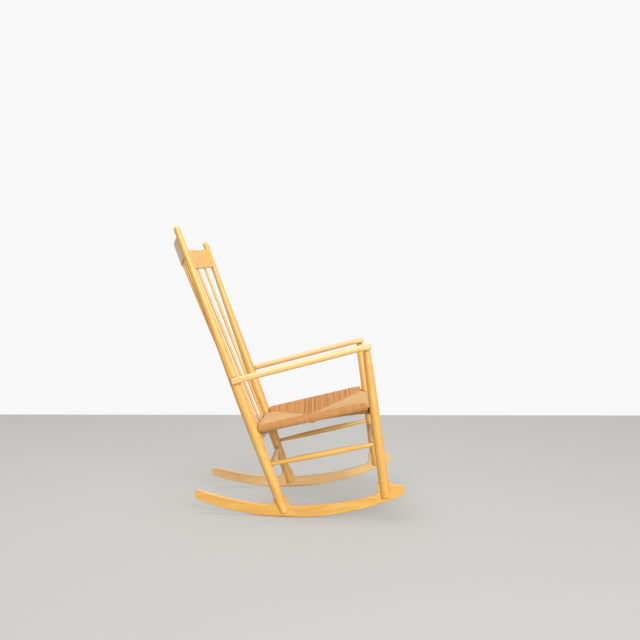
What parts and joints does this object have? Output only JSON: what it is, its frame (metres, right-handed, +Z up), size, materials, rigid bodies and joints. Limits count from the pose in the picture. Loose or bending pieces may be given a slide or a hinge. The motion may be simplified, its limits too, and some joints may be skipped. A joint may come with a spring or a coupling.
{
  "type": "rocking chair",
  "caption": "Turned-wood rocking chair with a bent crest rail, straight spindle back, plain arms and a woven cord seat over four rails.",
  "frame": {"origin": "centre of the underside of the bounding box, on the floor between the two rockers", "axes": "+Z up, the chair faces -Y, +X to the sitter's left"},
  "size_m": [0.6402, 0.8792, 1.0657],
  "materials": {
    "wood": "satin",
    "cord": "matte"
  },
  "bodies": {
    "root": {"arm_dowel_left": "wood", "arm_dowel_right": "wood", "arm_left": "wood", "arm_right": "wood", "crest_rail": "wood", "front_post_left": "wood", "front_post_right": "wood", "front_stretcher": "wood", "rear_post_left": "wood", "rear_post_right": "wood", "rear_stretcher": "wood", "rocker_left": "wood", "rocker_right": "wood", "seat_rail_front": "wood", "seat_rail_left": "wood", "seat_rail_rear": "wood", "seat_rail_right": "wood", "side_stretcher_left": "wood", "side_stretcher_right": "wood", "spindle_1": "wood", "spindle_2": "wood", "spindle_3": "wood", "spindle_4": "wood", "spindle_5": "wood", "spindle_6": "wood", "spindle_7": "wood", "spindle_rail": "wood", "woven_seat": "cord"}
  },
  "joints": []
}
